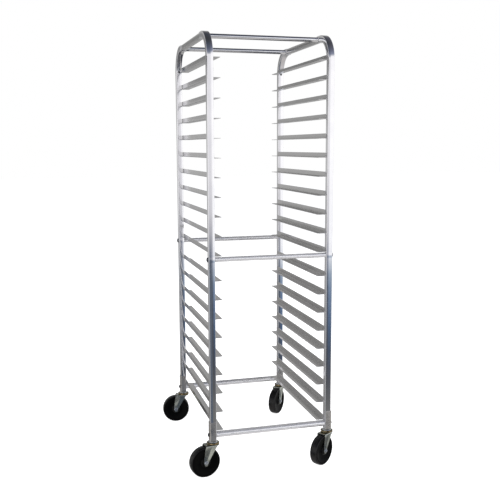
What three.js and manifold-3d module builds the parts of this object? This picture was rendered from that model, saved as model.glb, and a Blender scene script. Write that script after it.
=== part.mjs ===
// Sheet pan rack: a tall open trolley of bent square-tube uprights, with pairs of angle
// runners for the pans and four swivel casters.
// Millimetres, +Z up, front towards -Y. The origin is on the floor, at the centre of the
// bounding box.

import * as THREE from 'three';
import { mergeVertices } from 'three/addons/utils/BufferGeometryUtils.js';
import Module from 'manifold-3d';

const wasm = await Module();
wasm.setup();

// Frame
const FRAME_WIDTH = 514;
const FRAME_DEPTH = 673;
const RACK_HEIGHT = 1760;
const TUBE_SIZE = 25.4;
const TUBE_WALL = 1.6;
const TUBE_CORNER = 2;
const BEND_RADIUS = 95.3;
const BEND_STEPS = 6;
const STUB_END = 139;
const GAP = 0.3;

// Top rails, square tubes that slide into the open ends of the bent uprights
const TOP_RAIL_INSERTION = 28;

// Leg sockets, three-sided sleeves round the foot of each upright
const SOCKET_BOTTOM = 145;
const SOCKET_HEIGHT = 77;
const SOCKET_WALL = 2.5;
const SOCKET_INNER_RECESS = 4;

// Runners
const RUNNER_COUNT = 20;
const RUNNERS_ABOVE_MIDDLE = 11;
const RUNNER_PITCH = 76.2;
const MIDDLE_PITCH = 99;
const TOP_RUNNER_DROP = 107;
const RUNNER_WEB = 20.5;
const RUNNER_FLANGE = 32;
const RUNNER_THICKNESS = 2;
const RUNNER_SETBACK = 17;
const RUNNER_CORNER = 6;
const CORNER_STEPS = 3;

// Crossbars
const TOP_BAR_DIAMETER = 19;
const TOP_BAR_WALL = 1.6;
const TOP_BAR_INSET = 127;
const TOP_BAR_DROP = 2;
const MIDDLE_BAR_DIAMETER = 19;
const MIDDLE_BAR_DROP = 10.9;
const BOTTOM_BAR_DIAMETER = 25.4;
const BOTTOM_BAR_DROP = 13.4;
const BAR_SEGMENTS = 16;
const BOLT_RADIUS = 4;
const BOLT_CLEARANCE = 0.4;
const BOLT_SEGMENTS = 8;
const DOME_HEAD_RADIUS = 9.5;
const DOME_HEAD_HEIGHT = 6.5;
const DOME_STEPS = 3;
const HEX_HEAD_RADIUS = 7.5;
const HEX_HEAD_HEIGHT = 5.3;
const HEX_SIDES = 6;

// Casters, measured from the swivel axis with the wheel trailing towards +X
const WHEEL_DIAMETER = 125;
const WHEEL_WIDTH = 33;
const WHEEL_SEGMENTS = 28;
const TREAD_CHAMFER = 4.5;
const HUB_RADIUS = 18;
const HUB_WIDTH = 36;
const AXLE_RADIUS = 6;
const RUNNING_GAP = 0.4;
const CASTER_SEGMENTS = 20;
const TRAIL = 37;
const CROWN_BOTTOM = 128;
const CROWN_THICKNESS = 3.5;
const CROWN_RADIUS = 25.5;
const CROWN_REACH = 37;
const RACE_RADIUS = 21.5;
const RACE_TOP = 135.2;
const LEG_THICKNESS = 3;
const CROWN_LEG_FRONT = -12;
const FORK_INNER_WIDTH = 37;
const LEG_SHOULDER = 122;
const LEG_FRONT = -8;
const LEG_BACK = 39;
const LEG_BOSS_RADIUS = 9.7;
const LEG_TIP_DROP = 13.5;
const LEG_TIP_RADIUS = 4.5;
const CUP_RADIUS = 25.5;
const CUP_CHAMFER = 3.5;
const KINGPIN_RADIUS = 6;
const KINGPIN_NUT_RADIUS = 9.5;
const KINGPIN_NUT_HEIGHT = 6;
const JOIN = 0.3;

// How far each caster is turned about its swivel axis, in degrees
const CASTER_TURN = { front_left: 188.5, front_right: 214.5, rear_left: 172, rear_right: 228 };

// Worked out from the driving dimensions
const HALF_TUBE = TUBE_SIZE / 2;
const UPRIGHT_X = FRAME_WIDTH / 2 - HALF_TUBE;
const UPRIGHT_Y = FRAME_DEPTH / 2 - HALF_TUBE;
const INNER_WIDTH = FRAME_WIDTH - 2 * TUBE_SIZE;
const TOP_CENTRE = RACK_HEIGHT - HALF_TUBE;
const AXLE_HEIGHT = WHEEL_DIAMETER / 2;
const MIDDLE_BAR_HEIGHT = runnerHeight(RUNNERS_ABOVE_MIDDLE - 1) - MIDDLE_BAR_DROP;
const BOTTOM_BAR_HEIGHT = runnerHeight(RUNNER_COUNT - 1) - BOTTOM_BAR_DROP;

const SIDES = { left: -1, right: 1 };
const ENDS = { front: -1, rear: 1 };

// Height of the underside of a runner's flange, counted from the top
function runnerHeight(index) {
  const widerGap = index < RUNNERS_ABOVE_MIDDLE ? 0 : MIDDLE_PITCH - RUNNER_PITCH;
  return RACK_HEIGHT - TOP_RUNNER_DROP - index * RUNNER_PITCH - widerGap;
}

// ---------------------------------------------------------------- materials

function millAluminium() {
  return new THREE.MeshStandardMaterial({ color: 0xb4b6ba, roughness: 0.32, metalness: 1 });
}

function polishedAluminium() {
  return new THREE.MeshStandardMaterial({ color: 0xd6d9dd, roughness: 0.18, metalness: 1 });
}

function zincPlate() {
  return new THREE.MeshStandardMaterial({ color: 0x9a9d94, roughness: 0.35, metalness: 1 });
}

function blackRubber() {
  return new THREE.MeshStandardMaterial({ color: 0x0b0b0c, roughness: 0.5, metalness: 0 });
}

// ------------------------------------------------------- joining and cutting

// A closed geometry as a solid that can be joined and cut
function solidOf(geometry) {
  const bare = geometry.clone();
  bare.deleteAttribute('normal');
  bare.deleteAttribute('uv');
  const merged = mergeVertices(bare);
  const corners = merged.index.array;
  const triVerts = [];
  for (let i = 0; i < corners.length; i += 3) {
    const [a, b, c] = corners.slice(i, i + 3);
    if (a !== b && b !== c && c !== a) triVerts.push(a, b, c);
  }
  return new wasm.Manifold(new wasm.Mesh({
    numProp: 3,
    vertProperties: new Float32Array(merged.attributes.position.array),
    triVerts: new Uint32Array(triVerts),
  }));
}

function geometryOf(solid) {
  const result = solid.getMesh();
  const geometry = new THREE.BufferGeometry();
  geometry.setAttribute('position', new THREE.BufferAttribute(result.vertProperties, 3));
  geometry.setIndex(new THREE.BufferAttribute(result.triVerts, 1));
  const faceted = geometry.toNonIndexed();
  faceted.computeVertexNormals();
  return faceted;
}

function joined(...geometries) {
  return geometries.map(solidOf).reduce((whole, piece) => whole.add(piece));
}

// ------------------------------------------------------------- basic shapes

// A square tube's section about its centre: cut corners outside and a plain square bore
function squareTubeOutline(size, wall, corner) {
  const edge = size / 2;
  const start = edge - corner;
  const bore = edge - wall;
  const outer = [
    [edge, -start], [edge, start], [start, edge], [-start, edge],
    [-edge, start], [-edge, -start], [-start, -edge], [start, -edge],
  ];
  const inner = [[bore, -bore], [bore, bore], [-bore, bore], [-bore, -bore]];
  const outline = new THREE.Shape(outer.map(([x, y]) => new THREE.Vector2(x, y)));
  outline.holes.push(new THREE.Path(inner.map(([x, y]) => new THREE.Vector2(x, y))));
  return outline;
}

function circleOutline(radius, segments, Kind = THREE.Shape) {
  const points = [];
  for (let i = 0; i < segments; i += 1) {
    const angle = (2 * Math.PI * i) / segments;
    points.push(new THREE.Vector2(radius * Math.cos(angle), radius * Math.sin(angle)));
  }
  return new Kind(points);
}

// An outline pushed straight up from one height to another
function prism(outline, bottom, top) {
  const geometry = new THREE.ExtrudeGeometry(outline, { depth: top - bottom, bevelEnabled: false });
  return geometry.translate(0, 0, bottom);
}

// A profile of [radius, height] pairs turned about the Z axis
function turned(profile, segments) {
  const points = profile.map(([radius, height]) => new THREE.Vector2(radius, height));
  return new THREE.LatheGeometry(points, segments).rotateX(Math.PI / 2);
}

// ----------------------------------------------------------------- uprights

// Centreline of an upright: a straight leg, a quarter bend towards +Y and a short stub.
// Its points are spent on the bend, and each straight length is one step.
class UprightLine extends THREE.Curve {
  bendAngle(t) {
    const step = t * (BEND_STEPS + 2) - 1;
    return (THREE.MathUtils.clamp(step / BEND_STEPS, 0, 1) * Math.PI) / 2;
  }

  getPoint(t, target = new THREE.Vector3()) {
    const bendStart = TOP_CENTRE - BEND_RADIUS;
    const steps = BEND_STEPS + 2;
    const angle = this.bendAngle(t);
    const along = Math.max(t * steps - BEND_STEPS - 1, 0);
    const below = Math.max(1 - t * steps, 0);
    const stubLength = STUB_END - HALF_TUBE - BEND_RADIUS;
    const y = BEND_RADIUS * (1 - Math.cos(angle)) + along * stubLength;
    const z = bendStart + BEND_RADIUS * Math.sin(angle) - below * (bendStart - SOCKET_BOTTOM);
    return target.set(0, y, z);
  }

  getTangent(t, target = new THREE.Vector3()) {
    const angle = this.bendAngle(t);
    return target.set(0, Math.sin(angle), Math.cos(angle));
  }

  getPointAt(u, target) {
    return this.getPoint(u, target);
  }

  getTangentAt(u, target) {
    return this.getTangent(u, target);
  }
}

function bentTube() {
  const outline = squareTubeOutline(TUBE_SIZE, TUBE_WALL, TUBE_CORNER);
  const line = new UprightLine();
  return new THREE.ExtrudeGeometry(outline, { steps: BEND_STEPS + 2, extrudePath: line });
}

// Sleeve on the outer, front and rear faces of the foot, open towards the inside. Its
// inner faces lie within the tube's wall, so the two join.
function legSocket(inward) {
  const side = HALF_TUBE + SOCKET_WALL;
  const lap = HALF_TUBE - TUBE_WALL / 2;
  const back = -inward * side;
  const mouth = inward * (HALF_TUBE - SOCKET_INNER_RECESS);
  const corners = [
    [back, -side], [mouth, -side], [mouth, -lap], [-inward * lap, -lap],
    [-inward * lap, lap], [mouth, lap], [mouth, side], [back, side],
  ];
  const outline = new THREE.Shape(corners.map(([x, y]) => new THREE.Vector2(x, y)));
  return prism(outline, SOCKET_BOTTOM, SOCKET_BOTTOM + SOCKET_HEIGHT);
}

// The part of the caster that stays with the leg: upper race cup, kingpin and its nut
function casterMount() {
  const cupTop = SOCKET_BOTTOM + JOIN;
  const cupBottom = RACE_TOP + GAP;
  const nutTop = CROWN_BOTTOM - GAP;
  const nutBottom = nutTop - KINGPIN_NUT_HEIGHT;
  return turned([
    [0, nutBottom],
    [KINGPIN_NUT_RADIUS, nutBottom],
    [KINGPIN_NUT_RADIUS, nutTop],
    [KINGPIN_RADIUS, nutTop],
    [KINGPIN_RADIUS, cupBottom],
    [CUP_RADIUS, cupBottom],
    [CUP_RADIUS, cupTop - CUP_CHAMFER],
    [CUP_RADIUS - CUP_CHAMFER, cupTop],
    [0, cupTop],
  ], CASTER_SEGMENTS);
}

// Clearance hole across the upright for a crossbar's bolt
function boltHole(height) {
  const radius = BOLT_RADIUS + BOLT_CLEARANCE;
  const length = 2 * TUBE_SIZE;
  const hole = new THREE.CylinderGeometry(radius, radius, length, BOLT_SEGMENTS);
  return solidOf(hole.rotateZ(Math.PI / 2).translate(0, 0, height));
}

function uprightGeometry(inward) {
  const body = joined(bentTube(), legSocket(inward), casterMount());
  const drilled = body.subtract(boltHole(MIDDLE_BAR_HEIGHT)).subtract(boltHole(BOTTOM_BAR_HEIGHT));
  return geometryOf(drilled);
}

// ------------------------------------------------------ top rails, crossbars

function topRailGeometry() {
  const size = TUBE_SIZE - 2 * TUBE_WALL - 2 * GAP;
  const length = FRAME_DEPTH - 2 * STUB_END + 2 * TOP_RAIL_INSERTION;
  const tube = prism(squareTubeOutline(size, TUBE_WALL, TUBE_CORNER), -length / 2, length / 2);
  return tube.rotateX(Math.PI / 2);
}

function topBarGeometry() {
  const outline = circleOutline(TOP_BAR_DIAMETER / 2, BAR_SEGMENTS);
  outline.holes.push(circleOutline(TOP_BAR_DIAMETER / 2 - TOP_BAR_WALL, BAR_SEGMENTS, THREE.Path));
  const reach = INNER_WIDTH / 2 - GAP;
  return prism(outline, -reach, reach).rotateY(Math.PI / 2);
}

// A round bar between the inner faces, with a bolt out of each end through the upright.
// headFace is where the bolt heads sit, and headProfile is their shape beyond it.
function boltedBar(diameter, headFace, headProfile) {
  const reach = INNER_WIDTH / 2 - GAP;
  const seat = headFace + GAP;
  const halfProfile = [
    [diameter / 2, reach],
    [BOLT_RADIUS, reach],
    [BOLT_RADIUS, seat],
    ...headProfile.map(([radius, height]) => [radius, seat + height]),
  ];
  const mirrored = halfProfile.map(([radius, height]) => [radius, -height]).reverse();
  return turned([...mirrored, ...halfProfile], BAR_SEGMENTS).rotateY(Math.PI / 2);
}

function domeHead() {
  const profile = [];
  for (let i = 0; i <= DOME_STEPS; i += 1) {
    const angle = (i / DOME_STEPS) * (Math.PI / 2);
    const radius = i === DOME_STEPS ? 0 : DOME_HEAD_RADIUS * Math.cos(angle);
    profile.push([radius, DOME_HEAD_HEIGHT * Math.sin(angle)]);
  }
  return profile;
}

function middleBarGeometry() {
  return geometryOf(solidOf(boltedBar(MIDDLE_BAR_DIAMETER, FRAME_WIDTH / 2, domeHead())));
}

function hexHead(side) {
  const head = new THREE.CylinderGeometry(HEX_HEAD_RADIUS, HEX_HEAD_RADIUS, HEX_HEAD_HEIGHT, HEX_SIDES);
  const seat = FRAME_WIDTH / 2 + SOCKET_WALL + GAP;
  return head.rotateZ(Math.PI / 2).translate(side * (seat + HEX_HEAD_HEIGHT / 2), 0, 0);
}

function bottomBarGeometry() {
  const shankEnd = [[BOLT_RADIUS, HEX_HEAD_HEIGHT / 2], [0, HEX_HEAD_HEIGHT / 2]];
  const bar = boltedBar(BOTTOM_BAR_DIAMETER, FRAME_WIDTH / 2 + SOCKET_WALL, shankEnd);
  return geometryOf(joined(bar, hexHead(-1), hexHead(1)));
}

// ------------------------------------------------------------------ runners

// What is cut from a flange corner to round it, with the corner at the origin and the
// flange reaching back towards -X and -Y
function cornerCutter() {
  const outline = new THREE.Shape();
  const beyond = 1;
  outline.moveTo(beyond, beyond);
  outline.lineTo(-RUNNER_CORNER, beyond);
  for (let i = 0; i <= CORNER_STEPS; i += 1) {
    const angle = ((CORNER_STEPS - i) / CORNER_STEPS) * (Math.PI / 2);
    const x = RUNNER_CORNER * (Math.cos(angle) - 1);
    const y = RUNNER_CORNER * (Math.sin(angle) - 1);
    outline.lineTo(x, y);
  }
  outline.lineTo(beyond, -RUNNER_CORNER);
  return prism(outline, -beyond, RUNNER_THICKNESS + beyond);
}

// An angle on the left-hand side: the web stands against the uprights and the flange
// reaches inwards, towards +X, with its two free corners rounded
function runnerGeometry() {
  const halfLength = FRAME_DEPTH / 2 - RUNNER_SETBACK;
  const outline = new THREE.Shape([
    new THREE.Vector2(GAP, 0),
    new THREE.Vector2(RUNNER_FLANGE, 0),
    new THREE.Vector2(RUNNER_FLANGE, RUNNER_THICKNESS),
    new THREE.Vector2(GAP + RUNNER_THICKNESS, RUNNER_THICKNESS),
    new THREE.Vector2(GAP + RUNNER_THICKNESS, RUNNER_WEB),
    new THREE.Vector2(GAP, RUNNER_WEB),
  ]);
  const angle = solidOf(prism(outline, -halfLength, halfLength).rotateX(Math.PI / 2));
  const rearCutter = solidOf(cornerCutter().translate(RUNNER_FLANGE, halfLength, 0));
  const frontCutter = rearCutter.mirror([0, 1, 0]);
  return geometryOf(angle.subtract(rearCutter).subtract(frontCutter));
}

// ------------------------------------------------------------------ casters

// Crown plate seen from above: round about the swivel axis, square towards the wheel
function crownOutline() {
  const halfWidth = FORK_INNER_WIDTH / 2 + LEG_THICKNESS;
  const outline = new THREE.Shape();
  const meet = Math.asin(halfWidth / CROWN_RADIUS);
  outline.moveTo(CROWN_REACH, -halfWidth);
  outline.lineTo(CROWN_REACH, halfWidth);
  for (let i = 0; i <= CASTER_SEGMENTS / 2; i += 1) {
    const angle = Math.PI - meet + (2 * meet * i) / (CASTER_SEGMENTS / 2);
    outline.lineTo(CROWN_RADIUS * Math.cos(angle), CROWN_RADIUS * Math.sin(angle));
  }
  outline.holes.push(circleOutline(KINGPIN_RADIUS + RUNNING_GAP, CASTER_SEGMENTS, THREE.Path));
  return outline;
}

// Lower race: the ring on top of the crown that turns under the cup
function lowerRace() {
  const bore = KINGPIN_RADIUS + RUNNING_GAP;
  const bottom = CROWN_BOTTOM + JOIN;
  return turned([
    [bore, bottom],
    [RACE_RADIUS, bottom],
    [RACE_RADIUS, RACE_TOP],
    [bore, RACE_TOP],
    [bore, bottom],
  ], CASTER_SEGMENTS);
}

// A fork leg: as wide as the crown at the top, with a shoulder below it, tapering down
// past the axle to a blunt tip
function forkLeg(side) {
  const top = CROWN_BOTTOM + CROWN_THICKNESS;
  const tip = AXLE_HEIGHT - LEG_TIP_DROP;
  const outline = new THREE.Shape([
    new THREE.Vector2(CROWN_LEG_FRONT, top),
    new THREE.Vector2(CROWN_LEG_FRONT, CROWN_BOTTOM),
    new THREE.Vector2(LEG_FRONT, LEG_SHOULDER),
    new THREE.Vector2(TRAIL - LEG_BOSS_RADIUS, AXLE_HEIGHT),
    new THREE.Vector2(TRAIL - LEG_TIP_RADIUS, tip),
    new THREE.Vector2(TRAIL + LEG_TIP_RADIUS, tip),
    new THREE.Vector2(TRAIL + LEG_BOSS_RADIUS, AXLE_HEIGHT),
    new THREE.Vector2(LEG_BACK, LEG_SHOULDER),
    new THREE.Vector2(CROWN_REACH, CROWN_BOTTOM),
    new THREE.Vector2(CROWN_REACH, top),
  ]);
  const near = FORK_INNER_WIDTH / 2;
  const plate = prism(outline, near, near + LEG_THICKNESS).rotateX(Math.PI / 2);
  return side < 0 ? plate : plate.translate(0, FORK_INNER_WIDTH + LEG_THICKNESS, 0);
}

// Axle bolt across the fork, with a hex head on one side and a nut on the other
function axleBolt() {
  const legFace = FORK_INNER_WIDTH / 2 + LEG_THICKNESS;
  const reach = legFace + HEX_HEAD_HEIGHT / 2;
  const shank = new THREE.CylinderGeometry(AXLE_RADIUS, AXLE_RADIUS, 2 * reach, CASTER_SEGMENTS);
  const heads = [-1, 1].map((side) => {
    const head = new THREE.CylinderGeometry(
      HEX_HEAD_RADIUS, HEX_HEAD_RADIUS, HEX_HEAD_HEIGHT + JOIN, HEX_SIDES,
    );
    return head.translate(0, side * (legFace + (HEX_HEAD_HEIGHT - JOIN) / 2), 0);
  });
  return [shank, ...heads].map((piece) => piece.translate(TRAIL, 0, AXLE_HEIGHT));
}

function forkGeometry() {
  const crown = prism(crownOutline(), CROWN_BOTTOM, CROWN_BOTTOM + CROWN_THICKNESS);
  return geometryOf(joined(crown, lowerRace(), forkLeg(-1), forkLeg(1), ...axleBolt()));
}

// The tread's flats touch the wheel's true diameter, and one of them faces the floor
function wheelGeometry() {
  const bore = AXLE_RADIUS + RUNNING_GAP;
  const tread = WHEEL_DIAMETER / 2 / Math.cos(Math.PI / WHEEL_SEGMENTS);
  const halfHub = HUB_WIDTH / 2;
  const halfWheel = WHEEL_WIDTH / 2;
  const geometry = turned([
    [bore, -halfHub],
    [HUB_RADIUS, -halfHub],
    [HUB_RADIUS, -halfWheel],
    [tread - TREAD_CHAMFER, -halfWheel],
    [tread, TREAD_CHAMFER - halfWheel],
    [tread, halfWheel - TREAD_CHAMFER],
    [tread - TREAD_CHAMFER, halfWheel],
    [HUB_RADIUS, halfWheel],
    [HUB_RADIUS, halfHub],
    [bore, halfHub],
    [bore, -halfHub],
  ], WHEEL_SEGMENTS);
  return geometry.rotateZ(Math.PI / WHEEL_SEGMENTS).rotateX(Math.PI / 2);
}

// ----------------------------------------------------------------- assembly

function named(name, geometry, material) {
  const mesh = new THREE.Mesh(geometry, material);
  mesh.name = name;
  return mesh;
}

function addUprights(rack) {
  const byInward = { 1: uprightGeometry(1), '-1': uprightGeometry(-1) };
  for (const [end, endSign] of Object.entries(ENDS)) {
    for (const [side, sideSign] of Object.entries(SIDES)) {
      const turnedRound = endSign > 0;
      const inward = turnedRound ? sideSign : -sideSign;
      const upright = named(`upright_${end}_${side}`, byInward[inward], polishedAluminium());
      upright.position.set(sideSign * UPRIGHT_X, endSign * UPRIGHT_Y, 0);
      upright.rotation.z = turnedRound ? Math.PI : 0;
      rack.add(upright);
    }
  }
}

function addTopRails(rack) {
  const geometry = topRailGeometry();
  for (const [side, sideSign] of Object.entries(SIDES)) {
    const rail = named(`top_rail_${side}`, geometry, millAluminium());
    rail.position.set(sideSign * UPRIGHT_X, 0, TOP_CENTRE);
    rack.add(rail);
  }
}

function addCrossbars(rack) {
  const topY = FRAME_DEPTH / 2 - TOP_BAR_INSET;
  const levels = [
    { level: 'top', geometry: topBarGeometry(), y: topY, z: TOP_CENTRE - TOP_BAR_DROP },
    { level: 'middle', geometry: middleBarGeometry(), y: UPRIGHT_Y, z: MIDDLE_BAR_HEIGHT },
    { level: 'bottom', geometry: bottomBarGeometry(), y: UPRIGHT_Y, z: BOTTOM_BAR_HEIGHT },
  ];
  for (const { level, geometry, y, z } of levels) {
    for (const [end, endSign] of Object.entries(ENDS)) {
      const bar = named(`crossbar_${level}_${end}`, geometry, polishedAluminium());
      bar.position.set(0, endSign * y, z);
      rack.add(bar);
    }
  }
}

function addRunners(rack) {
  const geometry = runnerGeometry();
  for (const [side, sideSign] of Object.entries(SIDES)) {
    for (let i = 0; i < RUNNER_COUNT; i += 1) {
      const number = String(i + 1).padStart(2, '0');
      const runner = named(`runner_${side}_${number}`, geometry, millAluminium());
      runner.position.set((sideSign * INNER_WIDTH) / 2, 0, runnerHeight(i));
      runner.rotation.z = sideSign > 0 ? Math.PI : 0;
      rack.add(runner);
    }
  }
}

function addCasters(rack) {
  const fork = forkGeometry();
  const wheel = wheelGeometry();
  for (const [end, endSign] of Object.entries(ENDS)) {
    for (const [side, sideSign] of Object.entries(SIDES)) {
      const place = `${end}_${side}`;
      const caster = new THREE.Group();
      caster.position.set(sideSign * UPRIGHT_X, endSign * UPRIGHT_Y, 0);
      caster.rotation.z = THREE.MathUtils.degToRad(CASTER_TURN[place]);
      caster.add(named(`caster_fork_${place}`, fork, zincPlate()));
      const rollingWheel = named(`caster_wheel_${place}`, wheel, blackRubber());
      rollingWheel.position.set(TRAIL, 0, AXLE_HEIGHT);
      caster.add(rollingWheel);
      rack.add(caster);
    }
  }
}

const group = new THREE.Group();
addUprights(group);
addTopRails(group);
addCrossbars(group);
addRunners(group);
addCasters(group);

// The casters trail to one side, so the frame stands a little off the box's centre
const bounds = new THREE.Box3().setFromObject(group, true);
const centre = bounds.getCenter(new THREE.Vector3());
group.position.set(-centre.x, -centre.y, -bounds.min.z);

export default group;
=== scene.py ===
"""Looks of the sheet pan rack: detailed pieces in the places of the frame's parts.

Metres, +Z up, front towards -Y. Every piece is placed from the boxes of the CAD parts, and
rides on a body of the frame.
"""

import math
import random

import bpy
from mathutils import Matrix, Vector


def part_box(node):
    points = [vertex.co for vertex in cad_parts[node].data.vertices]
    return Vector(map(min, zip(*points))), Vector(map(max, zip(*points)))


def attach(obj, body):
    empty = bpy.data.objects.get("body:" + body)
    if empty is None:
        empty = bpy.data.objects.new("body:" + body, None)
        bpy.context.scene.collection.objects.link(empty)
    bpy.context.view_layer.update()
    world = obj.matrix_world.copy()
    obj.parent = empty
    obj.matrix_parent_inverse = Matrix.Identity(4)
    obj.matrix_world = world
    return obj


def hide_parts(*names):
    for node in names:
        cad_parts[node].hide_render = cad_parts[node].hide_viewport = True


MM = 0.001

# Square tube of the uprights and the top rails
TUBE = 25.4 * MM
TUBE_WALL = 1.6 * MM
TUBE_CORNER = 2.0 * MM
BORE_CORNER = 0.6 * MM
BEND_RADIUS = 95.3 * MM
BEND_STEPS = 30
STUB_END = 139 * MM
TUBE_LIFT = 0.5 * MM
PINCH_REACH = 13 * MM
PINCH_STEPS = 8
PINCH_SHARE = 0.008

# Leg socket, a three-sided sleeve
SOCKET_BOTTOM = 145 * MM
SOCKET_HEIGHT = 77 * MM
SOCKET_WALL = 2.5 * MM
SOCKET_RECESS = 4 * MM
SOCKET_CORNER = 3 * MM

# Runners
RUNNER_COUNT = 20
RUNNER_SHEET = 2 * MM
RUNNER_BEND = 3 * MM
RUNNER_CORNER = 6 * MM
RUNNER_SWAY = 0.35 * MM

# Weld beads, round the top bars' ends and up the runners' ends
RING_BEAD = 2.6 * MM
CORNER_BEAD = 0.95 * RUNNER_SHEET
BEAD_ROOT = 0.3 * MM
BEAD_UNDER = 0.4 * MM
BEAD_END = 2 * MM

# Caster, measured from the swivel axis with the wheel trailing towards +X
CUP_RADIUS = 25.5 * MM
CUP_BOTTOM = 135.5 * MM
CUP_BAND = 2.6 * MM
CUP_TOP = 139.8 * MM
RING_RADIUS = 16.6 * MM
RING_STEPS = 12
NECK_RADIUS = 12.0 * MM
KINGPIN_BOTTOM = 124 * MM
KINGPIN_TOP = 136 * MM
KINGPIN_NUT_RADIUS = 9.5 * MM
KINGPIN_NUT_BOTTOM = 121.8 * MM
KINGPIN_NUT_TOP = 127.6 * MM
CROWN_BOTTOM = 128 * MM
CROWN_TOP = 131.5 * MM
CROWN_REACH = 37 * MM
CROWN_RADIUS = 25.5 * MM
CROWN_LEG_FRONT = -12 * MM
RACE_TOP = 135.2 * MM
RACE_RADIUS = 21.5 * MM
FORK_HALF = 21.5 * MM
FORK_SHEET = 3 * MM
FORK_BEND = 5 * MM
LEG_SHOULDER = 122 * MM
LEG_STEP = 9 * MM
LEG_FRONT = -8 * MM
LEG_BACK = 39 * MM
BOSS_RADIUS = 9.7 * MM
LEG_TIP_DROP = 13.5 * MM
LEG_TIP_RADIUS = 4.5 * MM
RIDGE = 0.5
ROLL_DEPTH = 1.7 * MM
WHEEL_RADIUS = 62.5 * MM
WHEEL_HALF = 16.5 * MM
HUB_RADIUS = 18 * MM
HUB_HALF = 18 * MM
AXLE_RADIUS = 6 * MM
AXLE_NUT_RADIUS = 6.9 * MM
AXLE_NUT_HEIGHT = 4.0 * MM
TREAD_SHOULDER = 5.5 * MM
TREAD_CROWN = 1.0 * MM

# Crossbars, bolts and rivets
BAR_EASE = 0.8 * MM
DOME_RADIUS = 9.5 * MM
DOME_HEIGHT = 6.5 * MM
HEX_RADIUS = 6.9 * MM
HEX_HEIGHT = 4.2 * MM
RIVET_RADIUS = 5.3 * MM
RIVET_RISE = 3.2 * MM
RIVET_ABOVE_BEND = 3.2 * MM

# How many sides the turned parts have
WHEEL_SIDES = 96
RING_SIDES = 48
BOLT_SIDES = 32
PIN_SIDES = 24

# How deep the fine relief of plate and of rubber is
PIT_DEPTH = 0.06 * MM
SKIN_DEPTH = 0.08 * MM

# The gap left between pieces, and the sharpest fold that is shaded smooth
FIT = 0.3 * MM
SMOOTH_BELOW = math.radians(32)

# A lathe point this near the axis is a pole
ON_AXIS = 0.0001 * MM

UP = Vector((0, 0, 1))
PLACES = [(end, side) for end in ("front", "rear") for side in ("left", "right")]
END_SIGN = {"front": -1, "rear": 1}
SIDE_SIGN = {"left": -1, "right": 1}

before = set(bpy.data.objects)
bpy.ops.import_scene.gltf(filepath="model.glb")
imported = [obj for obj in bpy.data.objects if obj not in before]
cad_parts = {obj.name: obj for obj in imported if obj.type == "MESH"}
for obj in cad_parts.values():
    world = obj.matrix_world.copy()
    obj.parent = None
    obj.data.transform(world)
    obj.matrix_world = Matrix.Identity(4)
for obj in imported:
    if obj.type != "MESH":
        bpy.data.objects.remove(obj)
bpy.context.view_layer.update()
scene = bpy.context.scene


# ------------------------------------------------------------------ mesh building


class Shape:
    """The vertices, faces and grain coordinates of one piece, gathered part by part."""

    def __init__(self):
        self.points = []
        self.faces = []
        self.grain = []
        self.slots = []

    def ring(self, points):
        first = len(self.points)
        self.points += [Vector(p) for p in points]
        return list(range(first, len(self.points)))

    def face(self, corners, grain, slot):
        self.faces.append(corners)
        self.grain.append(grain)
        self.slots.append(slot)

    def loft(self, rings, closed=True, looped=False, capped=False, slot=0):
        """Joins rings of points. A ring of one point is a pole."""
        count = max(len(r) for r in rings)
        widest = max(rings, key=len)
        around = [0.0]
        for a, b in zip(widest, [*widest[1:], widest[0]]):
            around.append(around[-1] + (Vector(b) - Vector(a)).length)
        index = [self.ring(r) for r in rings]
        steps = list(zip(range(len(rings)), range(1, len(rings))))
        if looped:
            steps.append((len(rings) - 1, 0))
        along = 0.0
        for low, high in steps:
            length = (Vector(rings[high][0]) - Vector(rings[low][0])).length
            for k in range(count if closed else count - 1):
                after = (k + 1) % count
                u, v = (around[k], around[k + 1]), (along, along + length)
                a, b = index[low], index[high]
                if len(a) == 1:
                    self.face([a[0], b[after], b[k]], [(u[0], v[0]), (u[1], v[1]), (u[0], v[1])], slot)
                elif len(b) == 1:
                    self.face([a[k], a[after], b[0]], [(u[0], v[0]), (u[1], v[0]), (u[0], v[1])], slot)
                else:
                    corners = [a[k], a[after], b[after], b[k]]
                    grain = [(u[0], v[0]), (u[1], v[0]), (u[1], v[1]), (u[0], v[1])]
                    self.face(corners, grain, slot)
            along += length
        if capped:
            for end, turned in ((index[0], True), (index[-1], False)):
                if len(end) > 2:
                    corners = end[::-1] if turned else end
                    grain = [(self.points[i].x + self.points[i].y, self.points[i].z) for i in corners]
                    self.face(corners, grain, slot)
        return self

    def lathe(self, profile, place, segments, slot=0, capped=True):
        """Turns [radius, height] pairs about the Z axis of place."""
        angles = [2 * math.pi * k / segments for k in range(segments)]
        rings = []
        for radius, height in profile:
            if radius < ON_AXIS:
                ring = [place @ Vector((0, 0, height))]
            else:
                ring = [place @ Vector((radius * math.cos(a), radius * math.sin(a), height)) for a in angles]
            rings.append(ring)
        return self.loft(rings, capped=capped, slot=slot)

    def prism(self, outline, bottom, top, place, slot=0):
        """Pushes an outline up the Z axis of place."""
        levels = [[place @ Vector((x, y, z)) for x, y in outline] for z in (bottom, top)]
        return self.loft(levels, capped=True, slot=slot)


def rounded(corners, radii, steps=4):
    """A closed outline with its corners rounded."""
    outline = []
    count = len(corners)
    for i, (corner, radius) in enumerate(zip(corners, radii)):
        here = Vector(corner)
        if radius == 0:
            outline.append(here)
            continue
        back = (Vector(corners[i - 1]) - here).normalized()
        ahead = (Vector(corners[(i + 1) % count]) - here).normalized()
        half = back.angle(ahead) / 2
        centre = here + (back + ahead).normalized() * (radius / math.sin(half))
        first = here + back * (radius / math.tan(half)) - centre
        last = here + ahead * (radius / math.tan(half)) - centre
        sweep = first.angle(last)
        for k in range(steps + 1):
            share = k / steps
            spot = first * math.sin((1 - share) * sweep) + last * math.sin(share * sweep)
            outline.append(centre + spot / math.sin(sweep))
    return outline


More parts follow.
